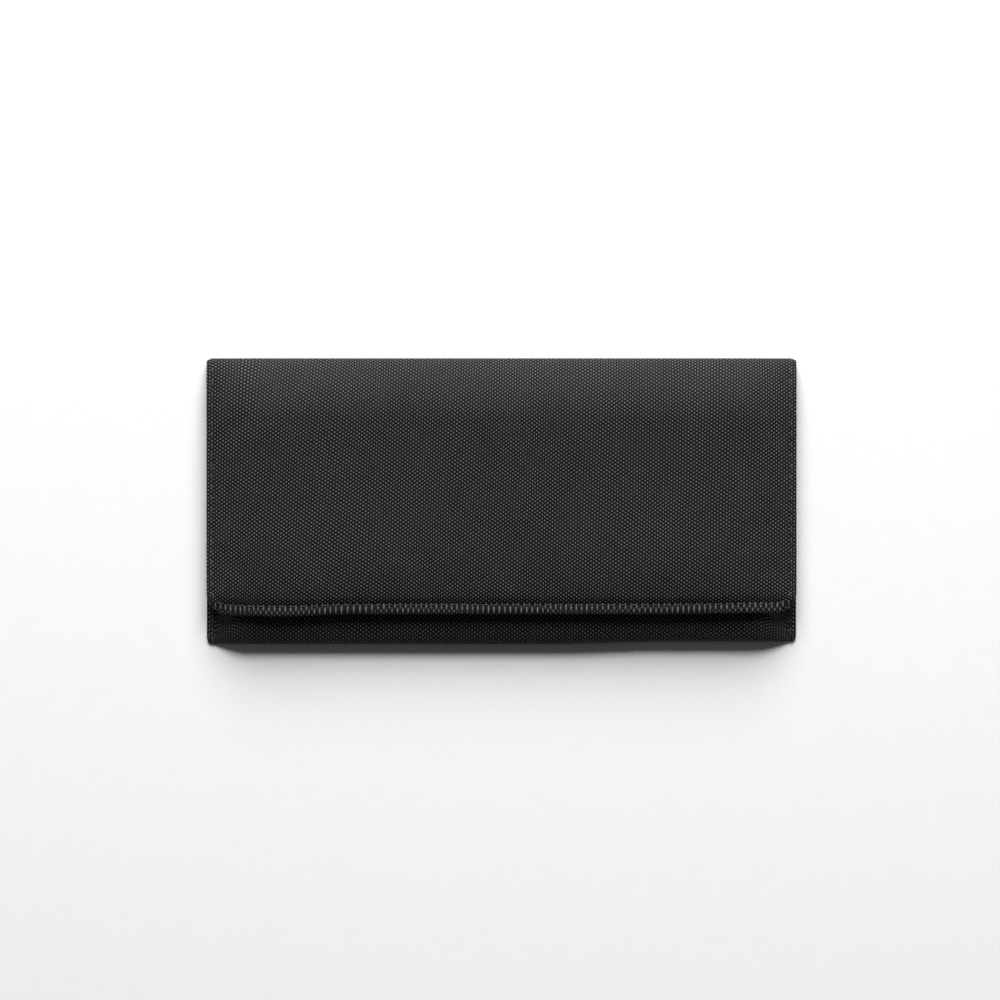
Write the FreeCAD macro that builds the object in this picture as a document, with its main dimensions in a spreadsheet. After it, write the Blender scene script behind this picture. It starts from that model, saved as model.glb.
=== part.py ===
import FreeCAD, Part
import math
import os
import sys

import Sketcher
from FreeCAD import Placement, Rotation, Vector

# Passport wallet: a long fabric pouch lying on its back, closed by a padded flap that comes over
# the spine at the top. +X runs along its width, +Y to the spine, +Z up. The origin is in the
# middle of the back panel's outer face. Lengths are in millimetres.

doc = FreeCAD.newDocument("passport_wallet")
sheet = doc.addObject("Spreadsheet::Sheet", "sizes")

sizes = [
    ("width", 220.0),          # along the spine
    ("height", 106.0),         # bottom fold to outer face of the spine
    ("bare_front", 11.5),      # bottom fold to the flap's free edge
    ("flap_radius", 8.0),      # free corners of the flap
    ("pouch_radius", 1.5),     # bottom corners of the pouch
    ("fabric", 0.7),           # outer fabric
    ("lining", 0.3),           # lining fabric
    ("board", 0.9),            # stiffener in the back
    ("foam", 1.0),             # padding in the flap
    ("tape", 0.4),             # zipper tape
    ("pocket_gap", 1.0),       # room in the zip pocket
    ("passport_room", 4.4),    # room in the main pocket
    ("patch", 0.5),            # one half of the closure, pressed together
    ("clearance", 0.1),        # between pieces that move past each other
    ("ease", 0.3),             # between a piece and the wall it is fitted to
    ("seam", 3.0),             # flat side seam of the pouch
    ("side_run", 14.0),        # side seam to where the front panel is level
    ("bottom_run", 12.0),      # bottom fold to where the front panel is level
    ("fold", 1.0),             # outer face to the line that the fabric folds about
    ("fold_gap", 0.2),         # left free at each fold, on both sides of it
    ("rim", 0.9),              # turned edge round the flap
    ("mouth_drop", 22.0),      # fold line of the spine to the top edge of the main pocket
    ("card_margin", 3.0),      # card pockets inside the level part of the front
    ("card_rise", 3.5),        # flap's free edge to the card pockets' bottom seam
    ("card_drop", 10.0),       # top edge of the main pocket to the highest card pocket
    ("card_step", 11.0),       # each next card pocket stands this much lower
    ("patch_width", 40.0),
    ("patch_height", 16.0),
    ("patch_margin", 10.0),    # patches inside the ends of the card pockets
    ("patch_rise", 6.5),       # flap's free edge to the patches
    ("zip_drop", 9.0),         # fold line of the spine to the middle of the zipper
    ("zip_margin", 15.0),      # end of the zip pocket to the zipper's stop
    ("zip_slit", 0.8),         # between the two halves of the zipper
    ("tape_width", 7.0),       # one half of the tape
    ("coil_width", 1.8),       # one half of the coil
    ("coil_height", 1.1),
    ("stop_length", 2.0),
    ("slider_length", 9.0),
    ("slider_plate", 0.6),
    ("slider_wall", 0.6),
    ("slider_post", 0.5),
    ("bridge_length", 4.4),
    ("bridge_width", 0.8),
    ("bridge_leg", 0.9),
    ("bridge_room", 1.1),
    ("pull_length", 18.0),
    ("pull_width", 5.0),
    ("pull_thick", 0.7),
    ("pull_bar", 0.8),
    ("pull_eye", 3.0),
]
for row, (name, value) in enumerate(sizes, start=1):
    sheet.set("A%d" % row, name)
    sheet.set("B%d" % row, "%g" % value)
    sheet.setAlias("B%d" % row, name)
doc.recompute()

spots = {}
nodes = []


def expression(text):
    """Writes a length for the document: #name is a size in the sheet, {name} a known spot."""
    return text.format(**spots).replace("#", "sizes.")


def spot(name, text):
    """Gives a place or a length that is worked out from sizes a name of its own."""
    spots[name] = "(%s)" % text.format(**spots)


def number(text):
    return float(sheet.evalExpression(expression(text)))


def bind(part, **properties):
    for name, text in properties.items():
        part.setExpression(name.replace("__", "."), expression(text))


def node(label, part):
    part.Label = label
    nodes.append(part)
    return part


# The layers from the table up. The spot with a layer's name is its underside.
layers = [
    ("back_panel", "#fabric"),
    ("back_board", "#board"),
    ("back_lining", "#lining"),
    ("zip_pocket_back", "#lining"),
    ("zip_pocket_room", "#pocket_gap"),
    ("zipper_tape", "#tape"),
    ("zip_pocket_front", "#lining"),
    ("passport_room", "#passport_room"),
    ("front_lining", "#lining"),
    ("front_panel", "#fabric"),
    ("card_pocket_top", "#lining"),
    ("card_pocket_mid", "#lining"),
    ("card_pocket_low", "#lining"),
    ("hook_patch", "#patch"),
    ("patch_room", "#clearance"),
    ("loop_patch", "#patch"),
    ("flap_lining", "#lining"),
    ("flap_foam", "#foam"),
    ("flap_panel", "#fabric"),
]
stack = "0"
for name, thickness in layers:
    spot(name, stack)
    stack += " + " + thickness
spot("top", stack)

spot("half_width", "#width/2")
spot("spine_face", "#height/2")
spot("bottom", "-#height/2")
spot("fold_line", "{spine_face} - #fold")
spot("inner_edge", "{fold_line} - #seam/2")
spot("free_edge", "{bottom} + #bare_front")
spot("mouth", "{fold_line} - #mouth_drop")
spot("zip_line", "{fold_line} - #zip_drop")
spot("level_half", "{half_width} - #seam - #side_run")
spot("rise", "{card_pocket_top} - #fabric")
spot("covering", "#fabric + #lining")


def box(label, x, y, z, length, width, height):
    """A plain block by its low corner and its three lengths."""
    part = doc.addObject("Part::Box", label)
    bind(part, Length=length, Width=width, Height=height,
         Placement__Base__x=x, Placement__Base__y=y, Placement__Base__z=z)
    return part


def strip(label, half, low, high, under, thick):
    """A flat sheet centred across the width."""
    return box(label, "-%s" % half, low, under, "2*%s" % half, "%s - %s" % (high, low), thick)


def outline(body, name, half, low, high, radius, under):
    """A sketched panel outline with its two lower corners rounded."""
    sketch = body.newObject("Sketcher::SketchObject", name)
    plane = [item for item in body.Origin.OriginFeatures if item.Role == "XY_Plane"][0]
    sketch.AttachmentSupport = (plane, [""])
    sketch.MapMode = "FlatFace"
    sketch.setExpression(".AttachmentOffset.Base.z", expression(under))
    w, a, b, r = number(half), number(low), number(high), number(radius)
    up = Vector(0, 0, 1)
    left = Part.Circle(Vector(r - w, a + r, 0), up, r)
    right = Part.Circle(Vector(w - r, a + r, 0), up, r)
    sketch.addGeometry([
        Part.LineSegment(Vector(-w, b, 0), Vector(-w, a + r, 0)),
        Part.ArcOfCircle(left, math.pi, 1.5 * math.pi),
        Part.LineSegment(Vector(r - w, a, 0), Vector(w - r, a, 0)),
        Part.ArcOfCircle(right, 1.5 * math.pi, 2 * math.pi),
        Part.LineSegment(Vector(w, a + r, 0), Vector(w, b, 0)),
        Part.LineSegment(Vector(w, b, 0), Vector(-w, b, 0)),
    ], False)
    rule = Sketcher.Constraint
    sketch.addConstraint([rule("Tangent", i, 2, i + 1, 1) for i in range(4)])
    sketch.addConstraint([
        rule("Coincident", 4, 2, 5, 1),
        rule("Coincident", 5, 2, 0, 1),
        rule("Vertical", 0),
        rule("Vertical", 4),
        rule("Horizontal", 2),
        rule("Equal", 1, 3),
        rule("Symmetric", 0, 1, 4, 2, -2),
    ])
    for text, constraint in (
        (half, rule("DistanceX", -1, 1, 4, 2, w)),
        (high, rule("DistanceY", -1, 1, 5, 1, b)),
        ("-%s" % low, rule("DistanceY", 2, 1, -1, 1, -a)),
        (radius, rule("Radius", 1, r)),
    ):
        index = sketch.addConstraint(constraint)
        sketch.setExpression("Constraints[%d]" % index, expression(text))
    return sketch


def panel(label, half, low, high, radius, under, thick):
    """A flat panel with rounded lower corners, as a padded sketch."""
    body = doc.addObject("PartDesign::Body", label)
    pad = body.newObject("PartDesign::Pad", label + "_pad")
    pad.Profile = outline(body, label + "_outline", half, low, high, radius, under)
    bind(pad, Length=thick)
    return body


def sheetSpots(under, cover):
    """How far a flat sheet reaches below the sloping front, at its own level."""
    spot("share", "(%s + %s - #fabric)/{rise}" % (under, cover))
    spot("sheet_half", "{half_width} - #seam - #side_run*{share} - #ease")
    spot("sheet_low", "{bottom} + #bottom_run*{share} + #ease")


def hill(label, drop, under, mouth):
    """The solid under the front panel's outer face, let down by drop and cut off at under."""
    spot("share", "(%s + %s - #fabric)/{rise}" % (under, drop))
    spot("hill_half", "{half_width} - #seam - #side_run*{share}")
    part = doc.addObject("Part::Wedge", label)
    bind(part, Xmin="-{hill_half}", Xmax="{hill_half}", X2min="-{level_half}", X2max="{level_half}",
         Ymin=under, Ymax="{card_pocket_top} - %s" % drop,
         Zmin="-%s" % mouth, Zmax="-{bottom} - #bottom_run*{share}",
         Z2min="-%s" % mouth, Z2max="-{bottom} - #bottom_run")
    part.Placement = Placement(Vector(), Rotation(Vector(1, 0, 0), 90))
    return part


# --- pouch ---
node("back_panel", panel("back_panel", "{half_width}", "{bottom}", "{fold_line}",
                         "#pouch_radius", "{back_panel}", "#fabric"))

# Board and lining end where the front panel slopes down to them.
sheetSpots("{back_lining}", "#fabric")
node("back_board", strip("back_board", "{sheet_half}", "{sheet_low}", "{inner_edge}",
                         "{back_board}", "#board"))
sheetSpots("{zip_pocket_back}", "{covering}")
node("back_lining", strip("back_lining", "{sheet_half}", "{sheet_low}", "{inner_edge}",
                          "{back_lining}", "#lining"))

# The zip pocket lies on the lining. Its front wall is open along the zipper.
sheetSpots("{passport_room}", "{covering}")
spot("pocket_half", "{sheet_half}")
spot("slider_half", "#zip_slit/2 + #coil_width + #clearance + #slider_wall")
spot("window_low", "{zip_line} - {slider_half} - #ease")
spot("window_high", "{zip_line} + {slider_half} + #ease")
for label, low, high, under in (
    ("zip_pocket_back", "{sheet_low}", "{inner_edge}", "{zip_pocket_back}"),
    ("zip_pocket_front", "{sheet_low}", "{window_low}", "{zip_pocket_front}"),
    ("zip_pocket_strip", "{window_high}", "{inner_edge}", "{zip_pocket_front}"),
):
    node(label, strip(label, "{pocket_half}", low, high, under, "#lining"))

# Zipper: each half is a tape with a row of coil on it. The slit lets the slider's post pass.
spot("zip_half", "{pocket_half} - #zip_margin")
spot("coil_under", "{zip_pocket_front}")
spot("low_side", "{zip_line} - #zip_slit/2")
spot("high_side", "{zip_line} + #zip_slit/2")
for piece, reach, half, under, tall in (
    ("tape", "#tape_width", "{pocket_half}", "{zipper_tape}", "#tape"),
    ("coil", "#coil_width", "{zip_half}", "{coil_under}", "#coil_height"),
):
    lower, upper = "zipper_%s_lower" % piece, "zipper_%s_upper" % piece
    node(lower, strip(lower, half, "({low_side} - %s)" % reach, "{low_side}", under, tall))
    node(upper, strip(upper, half, "{high_side}", "({high_side} + %s)" % reach, under, tall))
for side, x in (("left", "-{zip_half} - #stop_length"), ("right", "{zip_half}")):
    label = "zipper_stop_" + side
    node(label, box(label, x, "{low_side} - #coil_width", "{coil_under}",
                    "#stop_length", "#zip_slit + 2*#coil_width", "#coil_height"))

# Slider: two plates joined by a post in the slit, walls outside the coil and a bridge on top.
spot("slider_x", "{zip_half} - #clearance - #slider_length/2")
spot("slider_end", "{slider_x} - #slider_length/2")
spot("slider_low", "{zipper_tape} - #clearance - #slider_plate")
spot("slider_top", "{coil_under} + #coil_height + #clearance")
spot("bridge_under", "{slider_top} + #slider_plate")
spot("wall_under", "{coil_under} + #clearance")
slider_pieces = [
    box(name, "{slider_end}", "{zip_line} - {slider_half}", under,
        "#slider_length", "2*{slider_half}", "#slider_plate")
    for name, under in (("bottom_plate", "{slider_low}"), ("top_plate", "{slider_top}"))
]
slider_pieces.append(box("post", "{slider_x}", "{zip_line} - #slider_post/2", "{slider_low}",
                         "#slider_length/2", "#slider_post", "{bridge_under} - {slider_low}"))
for name, y in (("lower_wall", "{zip_line} - {slider_half}"),
                ("upper_wall", "{zip_line} + {slider_half} - #slider_wall")):
    slider_pieces.append(box(name, "{slider_end}", y, "{wall_under}", "#slider_length",
                             "#slider_wall", "{bridge_under} - {wall_under}"))
bridge = doc.addObject("Part::Cut", "bridge")
bridge.Base = box("bridge_arch", "{slider_x} - #bridge_length/2", "{zip_line} - #bridge_width/2",
                  "{bridge_under}", "#bridge_length", "#bridge_width",
                  "#bridge_room + #slider_plate")
bridge.Tool = box("bridge_gap", "{slider_x} - #bridge_length/2 + #bridge_leg",
                  "{zip_line} - #bridge_width", "{bridge_under}",
                  "#bridge_length - 2*#bridge_leg", "2*#bridge_width", "#bridge_room")
slider = doc.addObject("Part::MultiFuse", "zipper_slider")
slider.Shapes = slider_pieces + [bridge]
slider.Refine = True
node("zipper_slider", slider)

# Pull: its end bar goes through the bridge, whose back leg stands in the pull's eye.
spot("pull_under", "{bridge_under} + #clearance")
pull = doc.addObject("Part::Cut", "zipper_pull")
pull.Base = box("pull_tab", "{slider_x} + #pull_bar/2 - #pull_length",
                "{zip_line} - #pull_width/2", "{pull_under}",
                "#pull_length", "#pull_width", "#pull_thick")
pull.Tool = box("pull_eye_cut", "{slider_x} - #pull_bar/2 - #pull_eye",
                "{zip_line} - #bridge_width/2 - #ease", "{pull_under}",
                "#pull_eye", "#bridge_width + 2*#ease", "#pull_thick")
node("zipper_pull", pull)

# The front is one sheet over a hill with sloping sides and bottom, sewn flat along both sides.
shell = doc.addObject("Part::Cut", "front_shell")
shell.Base = hill("front_outer", "0", "{back_board}", "{mouth}")
shell.Tool = hill("front_inner", "#fabric", "{back_board}", "({mouth} + #seam)")
spot("seam_low", "{bottom} + #pouch_radius")
spot("seam_wide", "#seam + #fabric*#side_run/{rise}")
side_seams = [
    box("side_seam_" + side, x, "{seam_low}", "{back_board}",
        "{seam_wide}", "{mouth} - {seam_low}", "#fabric")
    for side, x in (("left", "-{half_width}"), ("right", "{half_width} - {seam_wide}"))
]
front = doc.addObject("Part::MultiFuse", "front_panel")
front.Shapes = [shell] + side_seams
front.Refine = True
node("front_panel", front)

spot("lining_under", "{zip_pocket_back} + #ease")
front_lining = doc.addObject("Part::Cut", "front_lining")
front_lining.Base = hill("lining_outer", "#fabric", "{lining_under}", "{mouth}")
front_lining.Tool = hill("lining_inner", "{covering}", "{lining_under}", "({mouth} + #seam)")
node("front_lining", front_lining)

# Card pockets share their bottom seam. The one in front is the shallowest.
spot("card_half", "{level_half} - #card_margin")
spot("card_bottom", "{free_edge} + #card_rise")
for step, label in enumerate(("card_pocket_top", "card_pocket_mid", "card_pocket_low")):
    high = "({mouth} - #card_drop - %d*#card_step)" % step
    node(label, strip(label, "{card_half}", "{card_bottom}", high, "{%s}" % label, "#lining"))

# Closure patches: hooks on the front card pocket, loops on the flap.
spot("patch_far", "{card_half} - #patch_margin")
for kind in ("hook_patch", "loop_patch"):
    for side, x in (("left", "-{patch_far}"), ("right", "{patch_far} - #patch_width")):
        label = "%s_%s" % (kind, side)
        node(label, box(label, x, "{free_edge} + #patch_rise", "{%s}" % kind,
                        "#patch_width", "#patch_height", "#patch"))

# --- spine ---
# Upright between the two folds, it lies in line with the back when the wallet is open flat.
spot("spine_under", "#fold + #fold_gap")
spot("spine_inner", "{spine_face} - #fabric")
spine_tall = "{top} - #fold - #fold_gap - {spine_under}"
node("spine_panel", strip("spine_panel", "{half_width}", "{spine_inner}", "{spine_face}",
                          "{spine_under}", spine_tall))
node("spine_lining", strip("spine_lining", "({half_width} - #seam)", "({spine_inner} - #lining)",
                           "{spine_inner}", "{spine_under}", spine_tall))

# --- flap ---
# The outer fabric turns over the edge all round, which closes in the foam and the lining.
spot("flap_edge", "{fold_line} - #fold_gap")
spot("filling", "#foam + #lining")
flap = panel("flap_panel", "{half_width}", "{free_edge}", "{flap_edge}", "#flap_radius",
             "{flap_lining}", "{filling} + #fabric")
within_rim = ("({half_width} - #rim)", "({free_edge} + #rim)", "({flap_edge} - #rim)",
              "(#flap_radius - #rim)")
hollow = flap.newObject("PartDesign::Pocket", "flap_hollow")
hollow.Profile = outline(flap, "hollow_outline", *within_rim, "{flap_lining}")
hollow.Reversed = True
bind(hollow, Length="{filling}")
node("flap_panel", flap)
node("flap_foam", panel("flap_foam", *within_rim, "{flap_foam}", "#foam"))
node("flap_lining", panel("flap_lining", *within_rim, "{flap_lining}", "#lining"))

doc.recompute()

# --- checks and files ---
faults = [item.Name for item in doc.Objects if {"Invalid", "Error"} & set(item.State)]
faults += [item.Label for item in nodes if item.Shape.isNull() or not item.Shape.isValid()]
faults += [item.Name for item in doc.Objects
           if item.isDerivedFrom("Sketcher::SketchObject") and not item.FullyConstrained]


def sketchArea(name):
    return Part.Face(Part.Wire(doc.getObject(name).Shape.Edges)).Area


whole = sketchArea("flap_panel_outline") * number("{filling} + #fabric")
wanted = whole - sketchArea("hollow_outline") * number("{filling}")
if abs(flap.Shape.Volume - wanted) > 1e-6 * wanted:
    faults.append("flap_hollow cuts the wrong volume")
if faults:
    sys.exit("failed: " + ", ".join(faults))

os.makedirs("parts", exist_ok=True)
for item in nodes:
    item.Shape.exportStep("parts/%s.step" % item.Label)
print("%d nodes, %.2f mm thick, slider travels %.2f mm from x = %.2f mm" % (
    len(nodes), number("{top}"),
    number("2*{zip_half} - #slider_length - 2*#clearance"), number("{slider_x}")))
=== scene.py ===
import math

import bpy
import numpy as np
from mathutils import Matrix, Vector


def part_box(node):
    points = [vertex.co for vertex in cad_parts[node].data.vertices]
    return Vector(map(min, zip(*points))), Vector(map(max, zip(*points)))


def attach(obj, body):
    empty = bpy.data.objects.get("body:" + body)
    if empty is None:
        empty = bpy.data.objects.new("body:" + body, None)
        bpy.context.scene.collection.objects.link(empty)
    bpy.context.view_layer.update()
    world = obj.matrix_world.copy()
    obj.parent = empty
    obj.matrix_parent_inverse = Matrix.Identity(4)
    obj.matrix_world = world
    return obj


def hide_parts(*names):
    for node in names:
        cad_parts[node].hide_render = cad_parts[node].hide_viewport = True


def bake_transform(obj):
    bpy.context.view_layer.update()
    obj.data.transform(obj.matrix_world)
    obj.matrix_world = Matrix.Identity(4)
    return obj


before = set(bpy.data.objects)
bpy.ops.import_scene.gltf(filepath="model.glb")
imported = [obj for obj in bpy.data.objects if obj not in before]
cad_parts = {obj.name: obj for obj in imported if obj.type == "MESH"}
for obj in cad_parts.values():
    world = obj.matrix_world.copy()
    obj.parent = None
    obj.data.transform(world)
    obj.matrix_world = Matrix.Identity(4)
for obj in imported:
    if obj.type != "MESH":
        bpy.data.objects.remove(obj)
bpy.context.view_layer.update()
scene = bpy.context.scene
scene.view_settings.view_transform = "Standard"
mm = 0.001
chance = np.random.default_rng(7)

# Places that the whole model is built from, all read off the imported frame.
flapLow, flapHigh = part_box("flap_panel")
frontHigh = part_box("front_panel")[1]
halfWidth = flapHigh.x
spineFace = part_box("spine_panel")[1].y
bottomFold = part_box("back_panel")[0].y
freeEdge = flapLow.y
mouthEdge = frontHigh.y
flapTop = flapHigh.z
frontTop = frontHigh.z
print("frame loaded")


def ramp(value, low, high):  # 0 below low, 1 above high, smooth between
    t = np.clip((value - low) / (high - low), 0, 1)
    return t * t * (3 - 2 * t)


def softHill(value, middle, reach):  # 1 at the middle, 0 past its reach
    t = np.clip(np.abs(value - middle) / reach, 0, 1)
    return 0.5 + 0.5 * np.cos(np.pi * t)


def graded(low, high, fine, coarse, edge):
    # places from low to high, fine near both ends and coarse in the middle
    def run(length, step):
        return max(1, int(round(length / step)))
    first = np.linspace(low, low + edge, run(edge, fine) + 1)
    middle = np.linspace(low + edge, high - edge, run(high - low - 2 * edge, coarse) + 1)
    last = np.linspace(high - edge, high, run(edge, fine) + 1)
    return np.concatenate([first, middle[1:-1], last])


def surfaceNormals(points):
    # outward normals of a grid whose columns run to +X and whose rows run down the outside
    alongColumns = np.gradient(points, axis=1)
    alongRows = np.gradient(points, axis=0)
    normals = np.cross(alongRows, alongColumns)
    return normals / np.maximum(np.linalg.norm(normals, axis=2, keepdims=True), 1e-12)


def runLengths(line):  # how far along the line each of its points is
    return np.concatenate([[0], np.cumsum(np.linalg.norm(np.diff(line, axis=0), axis=1))])


def makeObject(name, points, faces, cloth=None, materials=(), faceMaterial=None):
    mesh = bpy.data.meshes.new(name)
    mesh.from_pydata(np.asarray(points, float).tolist(), [], faces)
    if cloth is not None:
        layer = mesh.uv_layers.new(name="cloth")
        corners = np.zeros(len(mesh.loops), np.int32)
        mesh.loops.foreach_get("vertex_index", corners)
        layer.data.foreach_set("uv", np.asarray(cloth, np.float32)[corners].ravel())
    if faceMaterial is not None:
        mesh.polygons.foreach_set("material_index", np.asarray(faceMaterial, np.int32))
    mesh.polygons.foreach_set("use_smooth", [True] * len(mesh.polygons))
    for material in materials:
        mesh.materials.append(material)
    mesh.update()
    piece = bpy.data.objects.new(name, mesh)
    scene.collection.objects.link(piece)
    return piece


def gridFaces(rows, columns, first=0, flip=False):
    faces = []
    for r in range(rows - 1):
        for c in range(columns - 1):
            a = first + r * columns + c
            quad = (a, a + columns, a + columns + 1, a + 1)
            faces.append(quad[::-1] if flip else quad)
    return faces


def stripFaces(inner, outer, closed=False):
    # quads between two lines of vertex numbers
    count = len(inner) if closed else len(inner) - 1
    last = len(inner)
    return [(inner[i], outer[i], outer[(i + 1) % last], inner[(i + 1) % last])
            for i in range(count)]


def slab(name, top, under, cloth, material):
    # a closed thin sheet between two grids of points, with edges that bulge out softly
    bulge = 0.4  # as a share of the thickness
    rows, columns = top.shape[:2]
    count = rows * columns
    faces = gridFaces(rows, columns) + gridFaces(rows, columns, count, flip=True)
    border = ([(0, c) for c in range(columns)]
              + [(r, columns - 1) for r in range(1, rows)]
              + [(rows - 1, c) for c in range(columns - 2, -1, -1)]
              + [(r, 0) for r in range(rows - 2, 0, -1)])
    rim = [r * columns + c for r, c in border]
    middle = [0.5 * (top[r, c] + under[r, c]) for r, c in border]
    outward = []
    for i, (r, c) in enumerate(border):
        along = np.array(middle[(i + 1) % len(middle)]) - np.array(middle[i - 1])
        up = top[r, c] - under[r, c]
        away = np.cross(up, along)
        length = np.linalg.norm(away)
        outward.append(-away / length * np.linalg.norm(up) * bulge if length > 0 else away)
    extra = np.array(middle) + np.array(outward)
    points = np.concatenate([top.reshape(-1, 3), under.reshape(-1, 3), extra])
    ring = [2 * count + i for i in range(len(rim))]
    lower = [count + i for i in rim]
    faces += stripFaces(ring, rim, closed=True) + stripFaces(lower, ring, closed=True)
    flat = cloth.reshape(-1, 2)
    clothAll = np.concatenate([flat, flat, flat[rim]])
    return makeObject(name, points, faces, clothAll, [material])


def hemmedSheet(name, points, normals, cloth, path, radius, turnIn, ply, material, out=None):
    # one sheet of fabric whose edge, along a path of (row, column), rolls over and runs back under
    rows, columns = points.shape[:2]
    faces = gridFaces(rows, columns)
    line = np.array([points[r, c] for r, c in path])
    up = np.array([normals[r, c] for r, c in path])
    if out is None:
        out = np.cross(np.gradient(line, axis=0), up)
        out /= np.linalg.norm(out, axis=1, keepdims=True)
    base = np.array([cloth[r, c] for r, c in path])
    every, everyCloth = [points.reshape(-1, 3)], [cloth.reshape(-1, 2)]
    turns = [math.radians(a) for a in (30, 60, 90, 120, 150, 180)]
    steps = [(radius * math.sin(a), radius * (1 - math.cos(a)), radius * a) for a in turns]
    steps += [(-turnIn * k, 2 * radius, radius * math.pi + turnIn * k) for k in (0.35, 0.7, 1)]
    previous = [r * columns + c for r, c in path]
    for number, (outward, down, length) in enumerate(steps):
        every.append(line + out * outward - up * down)
        everyCloth.append(base + np.column_stack([out[:, 0], -out[:, 1]]) * length)
        first = rows * columns + number * len(path)
        ring = list(range(first, first + len(path)))
        faces += stripFaces(previous, ring)
        previous = ring
    piece = makeObject(name, np.concatenate(every), faces, np.concatenate(everyCloth), [material])
    thick = piece.modifiers.new("ply", "SOLIDIFY")
    thick.thickness = ply
    thick.offset = -1
    return piece


def tube(line, radius, sides, closedEnds=True):
    # points and faces of a thin tube along a line
    line = np.asarray(line, float)
    along = np.gradient(line, axis=0)
    along /= np.linalg.norm(along, axis=1, keepdims=True)
    helper = np.array([0.0, 0.0, 1.0]) if abs(along[0][2]) < 0.9 else np.array([0.0, 1.0, 0.0])
    across = np.cross(along, helper)
    across /= np.linalg.norm(across, axis=1, keepdims=True)
    other = np.cross(along, across)
    angles = np.linspace(0, 2 * np.pi, sides, endpoint=False)
    radii = np.broadcast_to(radius, len(line))[:, None, None]
    points = (line[:, None, :]
              + radii * (np.cos(angles)[None, :, None] * across[:, None, :]
                         + np.sin(angles)[None, :, None] * other[:, None, :]))
    faces = []
    for i in range(len(line) - 1):
        for k in range(sides):
            a, b = i * sides + k, i * sides + (k + 1) % sides
            faces.append((a, b, b + sides, a + sides))
    if closedEnds:
        last = (len(line) - 1) * sides
        faces.append(tuple(range(sides))[::-1])
        faces.append(tuple(range(last, last + sides)))
    return points.reshape(-1, 3), faces


def placeOn(line, distance, lengths):
    return np.array([np.interp(distance, lengths, line[:, k]) for k in range(3)])


# Lockstitches, in millimetres.
stitching = {
    "pitch": 3.95,           # from stitch to stitch
    "share": 0.68,           # how much of the pitch shows as thread
    "size": 0.21,            # the thread's radius
    "slant": 0.16,           # how far each stitch leans across its seam
    "sink": 0.05,            # how deep the seam pulls it in
    "pocketPitch": 3.2,      # the finer seams inside
    "pocketSize": 0.16,
}
# along a stitch: the share of its length, then its lift and its radius, both in thread radii
stitchProfile = ((0, -1.6, 0.8), (0.07, 0.0, 1), (0.25, 0.75, 1), (0.5, 0.9, 1.05), (0.75, 0.75, 1),
                 (0.93, 0.0, 1), (1, -1.6, 0.8))


def stitchRow(name, lines, ride, pitch=stitching["pitch"], size=stitching["size"]):
    # lockstitches along lines of (points, normals); their ends dive into the needle holes
    share, nudge = stitching["share"], 0.1 * mm
    allPoints, allFaces, total = [], [], 0
    for line, normals in lines:
        line, normals = np.asarray(line, float), np.asarray(normals, float)
        lengths = runLengths(line)
        count = max(1, int(lengths[-1] // (pitch * mm)))
        step = lengths[-1] / count
        for k in range(count):
            start = (k + 0.5 - share / 2) * step
            shape = []
            for t, lift, _ in stitchProfile:
                at = start + t * share * step
                here = placeOn(line, at, lengths)
                up = placeOn(normals, at, lengths)
                ahead = placeOn(line, at + nudge, lengths) - placeOn(line, at - nudge, lengths)
                side = np.cross(up, ahead / np.linalg.norm(ahead))
                shift = (t - 0.5) * 2 * stitching["slant"] * mm
                shape.append(here + up * (lift * size - stitching["sink"]) * mm + side * shift)
            radii = np.array([radius for _, _, radius in stitchProfile]) * size * mm
            points, faces = tube(shape, radii, 7)
            allPoints.append(points)
            allFaces += [tuple(i + total for i in face) for face in faces]
            total += len(points)
    points = np.concatenate(allPoints)
    piece = makeObject(name, points, allFaces, points[:, :2], [finishes["bondedThread"]])
    fasten(piece, ride)
    return piece


def fasten(piece, ride):
    # ride is a body's name, or one of the two folds that the fabric bends across
    if ride in folds:
        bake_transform(piece)
    else:
        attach(piece, ride)


def linear(code):
    # an sRGB hex colour as the linear colour that the shaders use
    parts = [int(code[i:i + 2], 16) / 255 for i in (0, 2, 4)]
    return [p / 12.92 if p <= 0.04045 else ((p + 0.055) / 1.055) ** 2.4 for p in parts] + [1]


def addNode(tree, kind, settings, links=None):
    # one node with its settings and links; a number or a socket's name sets an input
    node = tree.nodes.new(kind)
    for key, value in settings.items():
        if isinstance(key, int) or key in node.inputs:
            node.inputs[key].default_value = value
        else:
            setattr(node, key, value)
    for key, source in (links or {}).items():
        tree.links.new(source, node.inputs[key])
    return node


def startMaterial(name):
    material = bpy.data.materials.new(name)
    material.use_nodes = True
    tree = material.node_tree
    return material, tree, tree.nodes["Principled BSDF"]


# What every woven finish shares; its thread spacings and its two colours, painted shade in the gaps and
# painted highlight on the floats, are its own.
weave = {
    "driftPerMetre": 55.0,       # the threads wander over about 18 mm
    "floatFrom": -0.4,           # where a float begins and is full, on the crossing of two cosines
    "floatTo": 0.85,
    "floatNarrow": 1.9,          # higher numbers make slimmer floats
    "slubsPerMetre": 420.0,      # thick and thin places about 2.4 mm long, for threads of 1 mm
    "fibresPerMetre": 2600.0,    # 0.4 mm bundles of fibre, for threads of 1 mm
    "alongThreads": (2.2, 0.7, 1.0),
    "cloudsPerMetre": 38.0,      # the dye varies over about 26 mm
    "slubSpread": 0.28,          # how much each makes the colour lighter or darker
    "cloudSpread": 0.07,
    "fibreShare": 0.3,           # the fibres' share in the relief
    "roughSpread": 0.08,
    "noiseFrom": 0.3,            # the range that a noise texture mostly keeps to
    "noiseTo": 0.7,
}


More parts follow.
